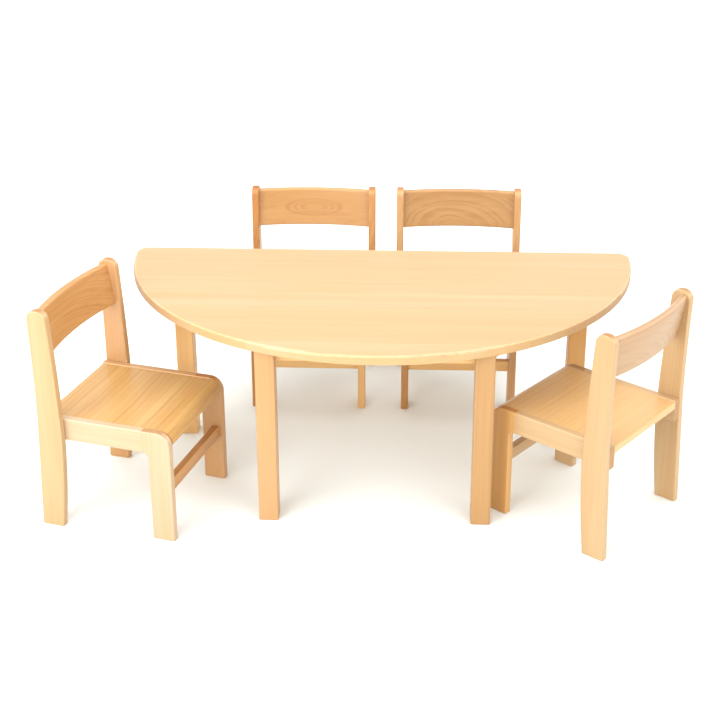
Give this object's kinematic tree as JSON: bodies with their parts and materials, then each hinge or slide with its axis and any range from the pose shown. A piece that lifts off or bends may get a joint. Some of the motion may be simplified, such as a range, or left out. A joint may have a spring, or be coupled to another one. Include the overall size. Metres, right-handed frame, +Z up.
{
  "type": "kids table and chairs",
  "caption": "Half-round beech table on square legs with small stacking chairs that have rolled-front seats and bent backrests.",
  "frame": {"origin": "centre of the set's footprint, on the floor", "axes": "+Z up, +X along the table's straight edge to the right, +Y from the round side of the table to its straight side"},
  "size_m": [1.3956, 0.9617, 0.505],
  "materials": {
    "beech_top": "clear satin lacquer over wide planks of beech laid along the straight edge",
    "beech_table_frame": "clear satin lacquer, grain along each leg and apron",
    "beech_chair_frame": "clear satin lacquer, grain along each post, rail and leg",
    "beech_seat": "clear satin lacquer, boards laid across the seat",
    "beech_back": "clear satin lacquer over strongly figured veneer",
    "beech_hidden": "bare beech, inside joints and under the top",
    "screw_steel": "zinc plated"
  },
  "bodies": {
    "table": {"corner_block_back_left": "beech_hidden", "corner_block_back_right": "beech_hidden", "corner_block_front_left": "beech_hidden", "corner_block_front_right": "beech_hidden", "table_apron_back": "beech_table_frame", "table_apron_front": "beech_table_frame", "table_apron_left": "beech_table_frame", "table_apron_right": "beech_table_frame", "table_dowels": "beech_hidden", "table_leg_back_left": "beech_table_frame", "table_leg_back_right": "beech_table_frame", "table_leg_front_left": "beech_table_frame", "table_leg_front_right": "beech_table_frame", "table_screws": "screw_steel", "table_top": "beech_top"},
    "left_chair": {"left_chair_backrest": "beech_back", "left_chair_dowels": "beech_hidden", "left_chair_front_leg_left": "beech_chair_frame", "left_chair_front_leg_right": "beech_chair_frame", "left_chair_rear_post_left": "beech_chair_frame", "left_chair_rear_post_right": "beech_chair_frame", "left_chair_seat": "beech_seat", "left_chair_side_rail_left": "beech_chair_frame", "left_chair_side_rail_right": "beech_chair_frame", "left_chair_stretcher": "beech_chair_frame"},
    "right_chair": {"right_chair_backrest": "beech_back", "right_chair_dowels": "beech_hidden", "right_chair_front_leg_left": "beech_chair_frame", "right_chair_front_leg_right": "beech_chair_frame", "right_chair_rear_post_left": "beech_chair_frame", "right_chair_rear_post_right": "beech_chair_frame", "right_chair_seat": "beech_seat", "right_chair_side_rail_left": "beech_chair_frame", "right_chair_side_rail_right": "beech_chair_frame", "right_chair_stretcher": "beech_chair_frame"},
    "back_left_chair": {"back_left_chair_backrest": "beech_back", "back_left_chair_dowels": "beech_hidden", "back_left_chair_front_leg_left": "beech_chair_frame", "back_left_chair_front_leg_right": "beech_chair_frame", "back_left_chair_rear_post_left": "beech_chair_frame", "back_left_chair_rear_post_right": "beech_chair_frame", "back_left_chair_seat": "beech_seat", "back_left_chair_side_rail_left": "beech_chair_frame", "back_left_chair_side_rail_right": "beech_chair_frame", "back_left_chair_stretcher": "beech_chair_frame"},
    "back_right_chair": {"back_right_chair_backrest": "beech_back", "back_right_chair_dowels": "beech_hidden", "back_right_chair_front_leg_left": "beech_chair_frame", "back_right_chair_front_leg_right": "beech_chair_frame", "back_right_chair_rear_post_left": "beech_chair_frame", "back_right_chair_rear_post_right": "beech_chair_frame", "back_right_chair_seat": "beech_seat", "back_right_chair_side_rail_left": "beech_chair_frame", "back_right_chair_side_rail_right": "beech_chair_frame", "back_right_chair_stretcher": "beech_chair_frame"}
  },
  "joints": [
    {"name": "left_chair_slide", "type": "slide", "parent": "table", "child": "left_chair", "axis": [0.9655, -0.2605, 0], "range_m": [-0.3, 0.03]},
    {"name": "right_chair_slide", "type": "slide", "parent": "table", "child": "right_chair", "axis": [-0.7815, 0.6239, 0], "range_m": [-0.3, 0.06]},
    {"name": "back_left_chair_slide", "type": "slide", "parent": "table", "child": "back_left_chair", "axis": [0, -1, 0], "range_m": [-0.3, 0.12]},
    {"name": "back_right_chair_slide", "type": "slide", "parent": "table", "child": "back_right_chair", "axis": [0, -1, 0], "range_m": [-0.3, 0.12]}
  ]
}
